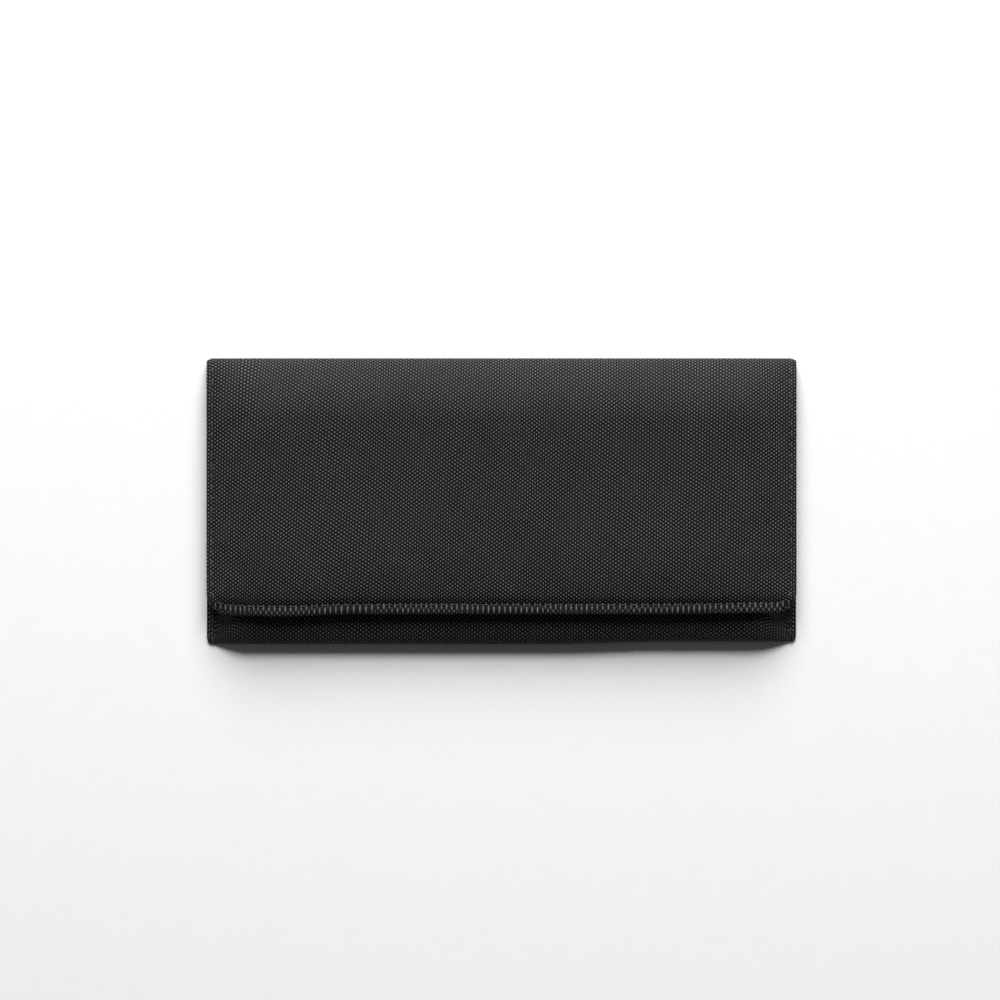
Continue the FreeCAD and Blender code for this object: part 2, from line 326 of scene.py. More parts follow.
def wovenCloth(name, warp, weft, low, high, roughness, sheen, depth, wander=0.22, lustre=0.25):
    # plain weave: each warp thread rises over every other weft, as upright floats in a checkerboard
    material, tree, shader = startMaterial(name)
    cloth = addNode(tree, "ShaderNodeUVMap", {"uv_map": "cloth"}).outputs[0]
    usual = {1: weave["noiseFrom"], 2: weave["noiseTo"]}
    drift = addNode(tree, "ShaderNodeTexNoise", {"Scale": weave["driftPerMetre"], "Detail": 2.0},
                    {"Vector": cloth})
    centred = addNode(tree, "ShaderNodeVectorMath", {"operation": "SUBTRACT", 1: (0.5, 0.5, 0.5)},
                      {0: drift.outputs["Color"]})
    small = addNode(tree, "ShaderNodeVectorMath", {"operation": "SCALE", "Scale": wander * 4 * warp * mm},
                    {0: centred.outputs[0]})
    moved = addNode(tree, "ShaderNodeVectorMath", {"operation": "ADD"}, {0: cloth, 1: small.outputs[0]})
    parts = addNode(tree, "ShaderNodeSeparateXYZ", {}, {0: moved.outputs[0]})
    waves = []
    for axis, pitch in ((0, warp), (1, weft)):
        turns = addNode(tree, "ShaderNodeMath", {"operation": "MULTIPLY", 1: math.pi / (pitch * mm)},
                        {0: parts.outputs[axis]})
        waves.append(addNode(tree, "ShaderNodeMath", {"operation": "COSINE"}, {0: turns.outputs[0]}))
    over = addNode(tree, "ShaderNodeMath", {"operation": "MULTIPLY"},
                   {0: waves[0].outputs[0], 1: waves[1].outputs[0]})
    tall = addNode(tree, "ShaderNodeMapRange",
                   {"interpolation_type": "SMOOTHSTEP", 1: weave["floatFrom"], 2: weave["floatTo"]},
                   {0: over.outputs[0]})
    ribs = addNode(tree, "ShaderNodeMath", {"operation": "ABSOLUTE"}, {0: waves[0].outputs[0]})
    narrow = addNode(tree, "ShaderNodeMath", {"operation": "POWER", 1: weave["floatNarrow"]},
                     {0: ribs.outputs[0]})
    floats = addNode(tree, "ShaderNodeMath", {"operation": "MULTIPLY"},
                     {0: tall.outputs[0], 1: narrow.outputs[0]})
    stretch = addNode(tree, "ShaderNodeVectorMath", {"operation": "MULTIPLY", 1: weave["alongThreads"]},
                      {0: moved.outputs[0]})
    slubs = addNode(tree, "ShaderNodeTexNoise",
                    {"Scale": weave["slubsPerMetre"] / warp, "Detail": 3.0, "Roughness": 0.6},
                    {"Vector": stretch.outputs[0]})
    clouds = addNode(tree, "ShaderNodeTexNoise", {"Scale": weave["cloudsPerMetre"], "Detail": 3.0},
                     {"Vector": cloth})
    uneven = addNode(tree, "ShaderNodeMapRange",
                     {**usual, 3: 1 - weave["slubSpread"], 4: 1 + weave["slubSpread"]},
                     {0: slubs.outputs[0]})
    cloudy = addNode(tree, "ShaderNodeMapRange",
                     {**usual, 3: 1 - weave["cloudSpread"], 4: 1 + weave["cloudSpread"]},
                     {0: clouds.outputs[0]})
    amount = addNode(tree, "ShaderNodeMath", {"operation": "MULTIPLY"},
                     {0: uneven.outputs[0], 1: cloudy.outputs[0]})
    # painted shade and highlight: the gaps between floats take the near-black low colour as painted shade,
    # and the float tops take the high colour as a painted highlight of their sheen
    paintedShadeAndHighlight = addNode(tree, "ShaderNodeMix", {"data_type": "RGBA", 6: linear(low), 7: linear(high)},
                    {0: floats.outputs[0]})
    varied = addNode(tree, "ShaderNodeVectorMath", {"operation": "SCALE"},
                     {0: paintedShadeAndHighlight.outputs[2], "Scale": amount.outputs[0]})
    fibres = addNode(tree, "ShaderNodeTexNoise", {"Scale": weave["fibresPerMetre"] / warp, "Detail": 2.0},
                     {"Vector": stretch.outputs[0]})
    relief = addNode(tree, "ShaderNodeMath", {"operation": "MULTIPLY_ADD", 1: weave["fibreShare"]},
                     {0: fibres.outputs[0], 2: floats.outputs[0]})
    bump = addNode(tree, "ShaderNodeBump", {"Strength": 0.9, "Distance": depth * mm},
                   {"Height": relief.outputs[0]})
    spread = weave["roughSpread"]
    rough = addNode(tree, "ShaderNodeMapRange", {**usual, 3: roughness - spread, 4: roughness + spread},
                    {0: slubs.outputs[0]})
    shader.inputs["Sheen Weight"].default_value = sheen
    shader.inputs["Sheen Roughness"].default_value = 0.45
    shader.inputs["Specular IOR Level"].default_value = lustre
    shader.inputs["IOR"].default_value = 1.5
    tree.links.new(varied.outputs[0], shader.inputs["Base Color"])
    tree.links.new(rough.outputs[0], shader.inputs["Roughness"])
    tree.links.new(bump.outputs[0], shader.inputs["Normal"])
    return material


def grainedSurface(name, low, high, grain, roughness, depth, values, stretch=(1, 1, 1), spots=False):
    # a moulded, cast or napped surface with grain of a given size in millimetres, over 8 mm clouds
    material, tree, shader = startMaterial(name)
    place = addNode(tree, "ShaderNodeTexCoord", {}).outputs["Object"]
    scaled = addNode(tree, "ShaderNodeVectorMath", {"operation": "MULTIPLY", 1: stretch}, {0: place})
    kind = "ShaderNodeTexVoronoi" if spots else "ShaderNodeTexNoise"
    pattern = addNode(tree, kind, {"Scale": 1000.0 / grain, "Detail": 2.0}, {"Vector": scaled.outputs[0]})
    cloud = addNode(tree, "ShaderNodeTexNoise", {"Scale": 120.0, "Detail": 3.0}, {"Vector": place})
    both = addNode(tree, "ShaderNodeMath", {"operation": "MULTIPLY_ADD", 1: 0.5},
                   {0: cloud.outputs[0], 2: pattern.outputs[0]})
    share = addNode(tree, "ShaderNodeMapRange", {1: 0.35, 2: 1.1}, {0: both.outputs[0]})
    colour = addNode(tree, "ShaderNodeMix", {"data_type": "RGBA", 6: linear(low), 7: linear(high)},
                     {0: share.outputs[0]})
    rough = addNode(tree, "ShaderNodeMapRange", {3: roughness - 0.06, 4: roughness + 0.08},
                    {0: cloud.outputs[0]})
    bump = addNode(tree, "ShaderNodeBump", {"Strength": 0.7, "Distance": depth * mm},
                   {"Height": pattern.outputs[0]})
    for key, value in values.items():
        shader.inputs[key].default_value = value
    tree.links.new(colour.outputs[2], shader.inputs["Base Color"])
    tree.links.new(rough.outputs[0], shader.inputs["Roughness"])
    tree.links.new(bump.outputs[0], shader.inputs["Normal"])
    return material


finishes = {
    # heavy woven polyester, solution-dyed black: matt, with a dotted grain of warp floats made lighter by
    # painted highlight over near-black painted shade in the gaps
    "heavyPolyester": wovenCloth("heavyPolyester", 0.993, 0.69, "060607", "6c6b6f", 0.72, 0.04, 0.3,
                                 lustre=0.18),
    # downproof taffeta: smooth and a little lustrous; its 0.2 mm threads are drawn at 0.45 mm to show
    "taffetaLining": wovenCloth("taffetaLining", 0.45, 0.4, "1b1b1e", "2f2f33", 0.5, 0.25, 0.05, 0.1, 0.4),
    # narrow-woven zipper tape: tight ribs of 0.5 mm with a soft dull face
    "zipperTape": wovenCloth("zipperTape", 0.5, 0.75, "121214", "2a2a2d", 0.7, 0.15, 0.12, 0.05),
    # bonded polyester sewing thread: twisted, slightly waxy, with a faint lengthwise gleam
    "bondedThread": grainedSurface("bondedThread", "1a191c", "37363a", 0.3, 0.5, 0.06,
                                   {"Sheen Weight": 0.2, "IOR": 1.5}, (1, 3, 1)),
    # extruded polyethylene board: dull grey plastic sheet with faint drag lines
    "polyethyleneBoard": grainedSurface("polyethyleneBoard", "2b2b2d", "3a3a3c", 0.8, 0.55, 0.03,
                                        {"IOR": 1.51}, (0.1, 1, 1)),
    # open-cell polyurethane foam: pale and full of pin-size cells
    "polyurethaneFoam": grainedSurface("polyurethaneFoam", "9c9a92", "d6d3c8", 0.7, 0.9, 0.3,
                                       {"IOR": 1.45}, spots=True),
    # moulded nylon monofilament: smooth dark coils with small soft highlights
    "nylonCoil": grainedSurface("nylonCoil", "0e0e10", "1f1f22", 0.4, 0.32, 0.02, {"IOR": 1.53}),
    # die-cast zinc under baked black enamel: half-gloss with slight orange peel
    "enamelledZinc": grainedSurface("enamelledZinc", "0b0b0c", "1a1a1c", 0.5, 0.3, 0.015,
                                    {"Coat Weight": 0.5, "Coat Roughness": 0.15, "IOR": 1.5}),
    # moulded nylon hook tape: rows of tiny stiff hooks, harsh and slightly shiny
    "hookTape": grainedSurface("hookTape", "050506", "2c2c30", 0.75, 0.45, 0.5, {"IOR": 1.53}, spots=True),
    # brushed nylon loop tape: a matted nap that catches light along its surface
    "loopTape": grainedSurface("loopTape", "0a0a0c", "232327", 0.6, 0.85, 0.35,
                               {"Sheen Weight": 0.3, "Sheen Roughness": 0.5, "IOR": 1.5}),
}
# where fabric bends: from which body to which, and where the bending starts and ends
folds = {
    "lowerFold": ("pouch", "spine", (0, 0.047, 0), (0, 0.053, 0.005)),
    "liningLowerFold": ("pouch", "spine", (0, 0.0503, 0.0015), (0, 0.0525, 0.005)),
    "upperFold": ("spine", "flap", (0, 0.053, 0.009), (0, 0.046, 0.0105)),
}
print("finishes made")

# The outside of the wallet, in millimetres where a user would change it.
outside = {
    "hemRadius": 0.8,        # how plump the flap's turned edge is
    "lowDrop": 0.8,          # the free edge rests this much lower
    "seamRadius": 0.45,      # the thinner edge of the pouch
    "cornerRadius": 8.0,     # the flap's two lower corners
    "foldReach": 22.0,       # how far the top fold's rounding runs over the flap
    "foldDrop": 8.0,         # and how far it comes down
    "sideDroop": 5.4,        # the flap's sides hang this much lower,
    "droopReach": 25.0,      # from this far in
    "padding": 1.8,          # extra height of the foam in the flap's middle
    "paddingReach": 24.0,
    "sideStitch": 2.3,       # stitch line to edge, at the sides and at the free edge
    "lowStitch": 3.5,
    "flapTurnIn": 3.2,       # how far the flap's hem runs back under
    "lowBow": 0.55,          # how far the bottom fold bows out
    "lowCorner": 2.2,        # the pouch's bottom corners, and the ends of the spine
    "spineCorner": 2.2,
    "fabricPly": 0.5,
    "spineJoin": 0.3,        # where the two outer pieces meet, as a share of the height
}


def flapEdgeLine(x):
    # the free edge isn't quite straight: it sags on the left and lifts a little on the right
    sag = 0.8 * softHill(x / mm, -83, 30) - 0.5 * ramp(x / mm, 55, 105)
    return freeEdge - (0.7 + sag) * mm


def cornerRise(x, radius):
    # how far a corner of that radius draws the edge in
    t = np.clip((np.abs(x) - (halfWidth - radius * mm)) / (radius * mm), 0, 1)
    return radius * mm * (1 - np.sqrt(1 - 0.97 * t * t))  # 0.97 keeps the arc from ending upright


def pouchEdgeLine(x):
    # the bottom fold bows out a little, and draws in again on the right
    bow = outside["lowBow"] - 0.9 * ramp(x / mm, 20, 60) - 0.15 * ramp(-x / mm, 95, 108)
    return bottomFold + cornerRise(x, outside["lowCorner"]) - bow * mm


def flapHeight(x):
    reach = outside["droopReach"] * mm
    t = np.clip((np.abs(x) - (halfWidth - reach)) / reach, 0, 1)
    return flapTop - outside["sideDroop"] * mm * t * t


def insideRounded(x, y, inset, lowInset, radius):
    # distance in from a line parallel to the flap's edge, rounded at the lower corners
    side = halfWidth - inset - np.abs(x)
    low = y - (flapEdgeLine(x) + lowInset)
    cornerX, cornerY = radius - side, radius - low
    rounded = radius - np.hypot(np.maximum(cornerX, 0), np.maximum(cornerY, 0))
    return np.where((cornerX > 0) & (cornerY > 0), rounded, np.minimum(side, low))


# The foam's outer fabric as a blown-up membrane.
membrane = {"columns": 109, "rows": 47, "ripple": 0.02, "mass": 0.3, "stiffness": 12, "bending": 0.6,
            "damping": 4, "pressure": 1.2, "slack": -0.004, "frames": 24}
mostLift = 1.15  # no place rises past this share of the padding


def inflatePad():
    # the fabric over the foam, held along the stitch lines and blown up a little from inside
    side = halfWidth - outside["sideStitch"] * mm
    xs = np.linspace(-side, side, membrane["columns"])
    ys = np.linspace(freeEdge + outside["lowStitch"] * mm, spineFace, membrane["rows"])
    x, y = np.meshgrid(xs, ys)
    ripple = membrane["ripple"] * mm * chance.standard_normal(x.shape)
    flat = np.stack([x, y, ripple], 2).reshape(-1, 3)
    pad = makeObject("pad_membrane", flat, gridFaces(len(ys), len(xs), flip=True))
    pins = pad.vertex_groups.new(name="stitched")
    rows, columns = x.shape
    held = [r * columns + c for r in range(rows) for c in range(columns)
            if r == 0 or c == 0 or c == columns - 1]
    pins.add(held, 1.0, "REPLACE")
    blown = pad.modifiers.new("cloth", "CLOTH")
    blown.settings.quality = 8
    blown.settings.mass = membrane["mass"]
    blown.settings.tension_stiffness = membrane["stiffness"]
    blown.settings.compression_stiffness = membrane["stiffness"]
    blown.settings.bending_stiffness = membrane["bending"]
    blown.settings.air_damping = membrane["damping"]
    blown.settings.use_pressure = True
    blown.settings.uniform_pressure_force = membrane["pressure"]
    blown.settings.shrink_min = membrane["slack"]
    blown.settings.vertex_group_mass = "stitched"
    blown.settings.effector_weights.gravity = 0
    blown.point_cache.frame_start = 1
    blown.point_cache.frame_end = membrane["frames"]
    for frameNumber in range(1, membrane["frames"] + 1):
        scene.frame_set(frameNumber)
    graph = bpy.context.evaluated_depsgraph_get()
    made = pad.evaluated_get(graph).to_mesh()
    heights = np.zeros(len(made.vertices) * 3, np.float32)
    made.vertices.foreach_get("co", heights)
    heights = np.abs(heights.reshape(rows, columns, 3)[..., 2])
    scene.frame_set(1)
    bpy.data.objects.remove(pad)
    tall = np.percentile(heights, 90)
    print("padding simulated, the membrane rose", round(float(tall) / mm, 2), "mm")
    return xs, ys, np.minimum(heights / max(tall, 1e-9), mostLift)


padField = inflatePad()


def padShare(x, y, seam):
    # how far the padding lifts the fabric, from 0 at the stitches to about 1
    t = np.clip(seam / outside["paddingReach"], 0, 1)
    hill = 1 - (1 - t) ** 3
    if padField is None:
        return hill
    xs, ys, heights = padField
    column = np.clip((x - xs[0]) / (xs[1] - xs[0]), 0, len(xs) - 1.001)
    row = np.clip((y - ys[0]) / (ys[1] - ys[0]), 0, len(ys) - 1.001)
    c, r = column.astype(int), row.astype(int)
    u, v = column - c, row - r
    blown = ((1 - v) * ((1 - u) * heights[r, c] + u * heights[r, c + 1])
             + v * ((1 - u) * heights[r + 1, c] + u * heights[r + 1, c + 1]))
    return np.where(seam > 0, 0.5 * hill + 0.5 * np.clip(blown, 0, mostLift), 0)


# How the flap's surface rises and falls, in millimetres.
surface = {
    "ridge": 0.14,           # the hem's roll, as a share of its width
    "ridgeLean": 0.8,        # below 1, its crest is nearer to the edge
    "groove": 0.05,          # the stitch line's own dent
    "grooveWidth": 0.5,
    "shoulder": 0.24,        # the wider dip on the padding's side of it
    "hemShoulder": 0.1,      # and on the hem's
    "shoulderWidth": 3.2,
    "step": 0.16,            # how the padding starts at the stitches
    "stepWidth": 1.6,
    "pucker": 0.09,          # small gathers along the stitches
    "puckerWidth": 2.5,
    "wave": 0.16,            # slow waves over the whole flap, and quicker ones
    "quickWave": 0.07,
}


def flapRelief(x, y):
    # height along the normal: of the hem with its groove, and of the padding with slow waves
    edge = insideRounded(x, y, 0, 0, outside["cornerRadius"] * mm) / mm
    seam = insideRounded(x, y, outside["sideStitch"] * mm, outside["lowStitch"] * mm,
                         (outside["cornerRadius"] - outside["sideStitch"]) * mm) / mm
    width = np.maximum(edge - seam, 0.5)
    share = np.clip(edge / width, 0, 1)
    roll = surface["ridge"] * width * np.sin(np.pi * share ** surface["ridgeLean"])
    hem = np.where(seam < 0, roll, 0)
    hem -= surface["groove"] * np.exp(-(seam / surface["grooveWidth"]) ** 2)
    shoulder = np.where(seam > 0, surface["shoulder"], surface["hemShoulder"])
    hem -= shoulder * np.exp(-(seam / surface["shoulderWidth"]) ** 2)
    pad = outside["padding"] * padShare(x, y, seam)
    pad += surface["step"] * (1 - np.exp(-np.maximum(seam, 0) / surface["stepWidth"]))
    gathers = np.sin(x / mm * 0.9 + 1.3 * np.sin(x / mm * 0.21))
    pad += surface["pucker"] * np.exp(-(seam / surface["puckerWidth"]) ** 2) * gathers
    slow = surface["wave"] * np.sin(x / mm * 0.062 + 0.8) * np.sin(y / mm * 0.071 + 0.4)
    quick = surface["quickWave"] * np.sin(x / mm * 0.17 + y / mm * 0.11)
    pad += (slow + quick) * np.clip(seam / 12, 0, 1)
    return hem * mm, pad * mm


riseRows, turnRows = 5, 33  # rows of points up the spine and round the top fold


def flapGrid(xs, ys, depth=0.0, relief=True, spineDepth=None):
    # rows run up the spine's upper half, round the top fold and over the flap to its free edge
    reach, drop = outside["foldReach"] * mm, outside["foldDrop"] * mm
    rows = []
    top = flapHeight(xs)
    scale = top / flapTop
    middle = outside["spineJoin"] * top
    start = top - drop * scale
    spine = spineFace - cornerRise(xs, outside["spineCorner"])
    for t in np.linspace(0, 1, riseRows):
        rows.append(np.stack([xs, spine, middle + (start - middle) * t], 1))
    for a in np.linspace(0, np.pi / 2, turnRows + 1)[1:]:
        y = spineFace - reach + (spine - spineFace + reach) * math.cos(a)
        rows.append(np.stack([xs, y, start + drop * scale * math.sin(a)], 1))
    edge = flapEdgeLine(xs) + outside["hemRadius"] * mm
    begin = spineFace - reach
    for y in ys:
        share = (begin - y) / (begin - freeEdge)
        low = outside["lowDrop"] * mm * ramp(-y / mm, 35.5, 41)
        rows.append(np.stack([xs, begin + (edge - begin) * share, top - low], 1))
    points = np.array(rows)
    normals = surfaceNormals(points)
    # the lower corners are drawn in from a square to a quarter disc
    radius = (outside["cornerRadius"] - outside["hemRadius"]) * mm
    limit = halfWidth - outside["hemRadius"] * mm
    a = np.clip((np.abs(points[..., 0]) - (limit - radius)) / radius, 0, 1)
    b = np.clip((edge[None, :] + radius - points[..., 1]) / radius, 0, 1)
    shrinkX, shrinkY = a * np.sqrt(1 - b * b / 2), b * np.sqrt(1 - a * a / 2)
    points[..., 0] -= np.sign(points[..., 0]) * (a - shrinkX) * radius
    points[..., 1] += (b - shrinkY) * radius
    path = runLengths(points.mean(1))
    if relief:
        hem, pad = flapRelief(points[..., 0], points[..., 1])
        # both fade out over the fold, so that the spine's face stays plain
        hem = hem * ramp(path, 3 * mm, 14 * mm)[:, None]
        pad = pad * ramp(path, 3 * mm, 27 * mm)[:, None]
        points = points + normals * (hem + pad)[..., None]
    if depth:
        inner = np.full(len(points), depth)
        if spineDepth is not None:
            inner = spineDepth + (depth - spineDepth) * ramp(path, 14 * mm, 36 * mm)
        points = points - normals * inner[:, None, None]
    return points, normals


# How the weave runs out of true: lean across the cloth, by place in millimetres.
weaveDrift = {
    "places": [-110, -98, -90, -60, -45, 5, 20, 60, 110],
    "lean": [0.0, 0.02, 0.065, 0.065, 0.04, 0.04, 0.025, 0.02, 0.01],
    "hemWidth": 3.3,         # over the rolled hem the floats are pulled long,
    "hemStretch": 0.24,      # so that this much of the usual weave covers it
}


def clothMap(points, lean=True, ridge=False):
    # flat lengths of fabric in metres: across from x, down from the mean length of the rows
    steps = np.linalg.norm(np.diff(points, axis=0), axis=2).mean(1)
    if ridge:
        low = points[:, :, 1].mean(1)[1:]
        near = low - freeEdge < weaveDrift["hemWidth"] * mm
        steps = np.where(near, steps * weaveDrift["hemStretch"], steps)
    down = np.concatenate([[0], np.cumsum(steps)])
    x = points[..., 0]
    v = np.broadcast_to(-down[:, None], x.shape)
    if not lean:
        return np.stack([x, v], 2)
    slope = np.interp(x / mm, weaveDrift["places"], weaveDrift["lean"])
    crowd = 0.75 * mm * np.sin(x / mm * 0.041) + 0.25 * mm * np.sin(x / mm * 0.13 + v / mm * 0.03)
    bow = 0.4 * mm * np.sin(x / mm * 0.05)
    return np.stack([x - slope * (v + 50 * mm) + crowd, v + bow], 2)


def straightened(normals, shares):
    # normals that lean less to the left or right, row by row, so that a turned edge stays level
    level = normals.copy()
    level[..., 0] *= shares[:, None]
    return level / np.linalg.norm(level, axis=2, keepdims=True)


xsFlap = graded(-halfWidth + outside["hemRadius"] * mm, halfWidth - outside["hemRadius"] * mm,
                0.4 * mm, 1.9 * mm, 10 * mm)
foldStart = spineFace - outside["foldReach"] * mm
ysFlap = graded(freeEdge, foldStart, 0.38 * mm, 1.5 * mm, 9 * mm)[::-1][1:]
flapPoints, flapNormals = flapGrid(xsFlap, ysFlap)
rowsFlap, columnsFlap = flapPoints.shape[:2]
flapPath = ([(r, 0) for r in range(rowsFlap)]
            + [(rowsFlap - 1, c) for c in range(1, columnsFlap)]
            + [(r, columnsFlap - 1) for r in range(rowsFlap - 2, -1, -1)])
flapTurned = straightened(flapNormals, ramp(np.arange(rowsFlap), riseRows, 36))
flapShell = hemmedSheet("flap_outer", flapPoints, flapTurned, clothMap(flapPoints, ridge=True), flapPath,
                        outside["hemRadius"] * mm, outside["flapTurnIn"] * mm, outside["fabricPly"] * mm,
                        finishes["heavyPolyester"])
fasten(flapShell, "upperFold")
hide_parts("flap_panel")
print("flap made")


def stitchLine(grid, normals, xs, ys):
    # points and normals where a stitch line crosses the grid, by nearest rows and columns
    found, up = [], []
    for x, y in zip(xs, ys):
        near = np.argmin((grid[..., 0] - x) ** 2 + (grid[..., 1] - y) ** 2)
        r, c = divmod(int(near), grid.shape[1])
        found.append([x, y, grid[r, c, 2]])
        up.append(normals[r, c])
    return np.array(found), np.array(up)


def flapSeam(across, radius):
    # the flap's stitch line below the fold: down one side, along the free edge and up the other
    low = outside["lowStitch"] * mm
    sideRow = np.linspace(seamTop, freeEdge + low + radius, 90)
    turn = np.linspace(0, np.pi / 2, 14)[1:]
    xs = [-across] * len(sideRow)
    ys = list(sideRow)
    for a in turn:
        xs.append(-across + radius * (1 - math.cos(a)))
        ys.append(flapEdgeLine(xs[-1]) + low + radius * (1 - math.sin(a)))
    for x in np.linspace(-across + radius, across - radius, 240)[1:]:
        xs.append(x)
        ys.append(flapEdgeLine(x) + low)
    for a in np.linspace(0, np.pi / 2, 14)[::-1][1:]:
        xs.append(across - radius * (1 - math.cos(a)))
        ys.append(flapEdgeLine(xs[-1]) + low + radius * (1 - math.sin(a)))
    for y in np.linspace(freeEdge + low + radius, seamTop, 90)[1:]:
        xs.append(across)
        ys.append(y)
    return xs, ys


seamTop = 30 * mm
across = halfWidth - outside["sideStitch"] * mm
seamX, seamY = flapSeam(across, (outside["cornerRadius"] - outside["sideStitch"]) * mm)
line, up = stitchLine(flapPoints, flapNormals, seamX, seamY)
# above that the side rows follow the grid's own columns round the fold
sides = []
for column in (int(np.argmin(np.abs(xsFlap + across))), int(np.argmin(np.abs(xsFlap - across)))):
    upper = [r for r in range(rowsFlap) if flapPoints[r, column, 1] >= seamTop + 1 * mm]
    sides.append((flapPoints[upper, column], flapNormals[upper, column]))
flapStitches = stitchRow("flap_stitches", [(line, up)] + sides, "upperFold")

# The layers inside the flap, in millimetres.
foamLayer = {
    "side": 4.0,             # layer to edge, at the sides and at the free edge
    "low": 4.5,
    "flap": (0.6, 1.55),     # its two faces' depths under the outer fabric, over the flap
    "spine": (0.5, 0.53),    # and over the spine
    "spacing": (1.0, 4, 8),  # points closest, widest, and how far in from the edges they get wide
    "firstRow": 27,          # the foam ends in the fold
}
liningLayer = {"side": 2.5, "low": 2.5, "flap": (1.68, 1.92), "spine": (0.54, 0.74),
               "spacing": (0.6, 3, 8), "firstRow": 0}


def flapLayer(name, material, layer):
    spacing = [step * mm for step in layer["spacing"]]
    side = halfWidth - layer["side"] * mm
    xs = graded(-side, side, *spacing)
    ys = graded(freeEdge + layer["low"] * mm, foldStart, *spacing)[::-1][1:]
    faces = []
    for depth, spineDepth in zip(layer["flap"], layer["spine"]):
        face = flapGrid(xs, ys, depth * mm, spineDepth=spineDepth * mm, relief=False)[0]
        faces.append(face[layer["firstRow"]:])
    return slab(name, faces[0], faces[1], clothMap(faces[0], lean=False), material)


foam = flapLayer("flap_foam_pad", finishes["polyurethaneFoam"], foamLayer)
fasten(foam, "upperFold")
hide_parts("flap_foam")
flapLining = flapLayer("flap_lining_sheet", finishes["taffetaLining"], liningLayer)
fasten(flapLining, "upperFold")
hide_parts("flap_lining", "spine_lining")
print("flap lined")


# Front, bottom fold, back and the lower part of the spine, in millimetres.
pouch = {
    "seamFlat": 3.0,         # the side seams lie flat,
    "seamHeight": 1.8,
    "seamRun": 14.0,         # and the front rises to its full height over this
    "frontRound": 15.0,      # the bottom fold's rounding, on the front and on the back
    "backRound": 3.5,
    "lowShare": 0.32,        # where the two meet, as a share of the front's height
    "spineRound": 2.5,
    "sag": 0.12,
    "turnIn": 5.0,           # how far its hem runs back under
    "ply": 0.3,
    "stitch": 2.4,           # stitch line to edge
    "groove": 0.16,          # the dent along it
    "grooveWidth": 0.5,
    "mouthRow": 3,           # the mouth's stitches: the row of points, and the columns left out at its ends
    "mouthEnds": 24,
}


def frontHeight(x):
    # the front rises from the flat side seams to its full height
    share = np.clip((halfWidth - pouch["seamFlat"] * mm - np.abs(x)) / (pouch["seamRun"] * mm), 0, 1)
    seam = pouch["seamHeight"] * mm
    return seam + (frontTop - seam) * np.sin(share * np.pi / 2)


def pouchGrid(xs, depth=0.0, inset=0.0, backToo=True):
    # rows run from the mouth down the front, round the bottom fold, along the back and up the spine
    height = frontHeight(xs)
    seam = pouch["seamHeight"] * mm
    share = (height - seam) / (frontTop - seam)
    bottom = pouchEdgeLine(xs) + inset
    run = pouch["frontRound"] * mm * (0.2 + 0.8 * share)
    under = pouch["backRound"] * mm * (0.3 + 0.7 * share)
    lowest = pouch["lowShare"] * height
    rows = []
    mouth = mouthEdge - outside["seamRadius"] * mm
    for t in graded(0, 1, 0.008, 0.035, 0.1):
        y = mouth + (bottom + run - mouth) * t
        soft = pouch["sag"] * mm * np.sin(xs / mm * 0.09) * math.sin(t * 5)
        rows.append(np.stack([xs, y, height - np.abs(soft) * share], 1))
    for a in np.linspace(0, np.pi / 2, 18)[1:]:
        rows.append(np.stack([xs, bottom + run * (1 - math.sin(a)),
                              lowest + (height - lowest) * math.cos(a)], 1))
    if backToo:
        for a in np.linspace(0, np.pi / 2, 12)[1:]:
            rows.append(np.stack([xs, bottom + under * (1 - math.cos(a)),
                                  lowest * (1 - math.sin(a))], 1))
        middle = outside["spineJoin"] * flapHeight(xs)
        fold = np.minimum(pouch["spineRound"] * mm, 0.7 * middle)
        spine = spineFace - cornerRise(xs, outside["spineCorner"])
        first = rows[-1][:, 1]
        for t in graded(0, 1, 0.01, 0.03, 0.08)[1:]:
            y = first + (spine - fold - first) * t
            rows.append(np.stack([xs, y, np.zeros_like(xs)], 1))
        for a in np.linspace(0, np.pi / 2, 10)[1:]:
            rows.append(np.stack([xs, spine - fold * (1 - math.sin(a)), fold * (1 - math.cos(a))], 1))
        for t in np.linspace(0, 1, 4)[1:]:
            rows.append(np.stack([xs, spine, fold + (middle - fold) * t], 1))
    points = np.array(rows)
    if depth:
        points = points - surfaceNormals(points) * depth
    return points


xsPouch = graded(-halfWidth + outside["seamRadius"] * mm, halfWidth - outside["seamRadius"] * mm,
                 0.45 * mm, 2.2 * mm, 20 * mm)
pouchPoints = pouchGrid(xsPouch)
pouchNormals = surfaceNormals(pouchPoints)
# a shallow stitch groove down both side seams, front and back
seamPlace = halfWidth - pouch["stitch"] * mm
offSeam = (np.abs(pouchPoints[..., 0]) - seamPlace) / (pouch["grooveWidth"] * mm)
groove = pouch["groove"] * mm * np.exp(-offSeam ** 2)
pouchPoints = pouchPoints - pouchNormals * groove[..., None]
rowsPouch, columnsPouch = pouchPoints.shape[:2]
pouchPath = ([(r, columnsPouch - 1) for r in range(rowsPouch - 1, -1, -1)]
             + [(0, c) for c in range(columnsPouch - 2, -1, -1)]
             + [(r, 0) for r in range(1, rowsPouch)])
pouchOut = np.array([(0, 1, 0) if r == 0 and 0 < c < columnsPouch - 1 else (1 if c else -1, 0, 0)
                     for r, c in pouchPath], float)
pouchTurned = straightened(pouchNormals, ramp(rowsPouch - np.arange(rowsPouch), 13, 22))
pouchShell = hemmedSheet("pouch_outer", pouchPoints, pouchTurned, clothMap(pouchPoints), pouchPath,
                         outside["seamRadius"] * mm, pouch["turnIn"] * mm, pouch["ply"] * mm,
                         finishes["heavyPolyester"], pouchOut)
fasten(pouchShell, "lowerFold")
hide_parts("back_panel", "front_panel", "spine_panel")
pouchRows = []
for x in (-seamPlace, seamPlace):
    column = int(np.argmin(np.abs(xsPouch - x)))
    pouchRows.append((pouchPoints[1:, column], pouchNormals[1:, column]))
mouth = (pouch["mouthRow"], slice(pouch["mouthEnds"], columnsPouch - pouch["mouthEnds"]))
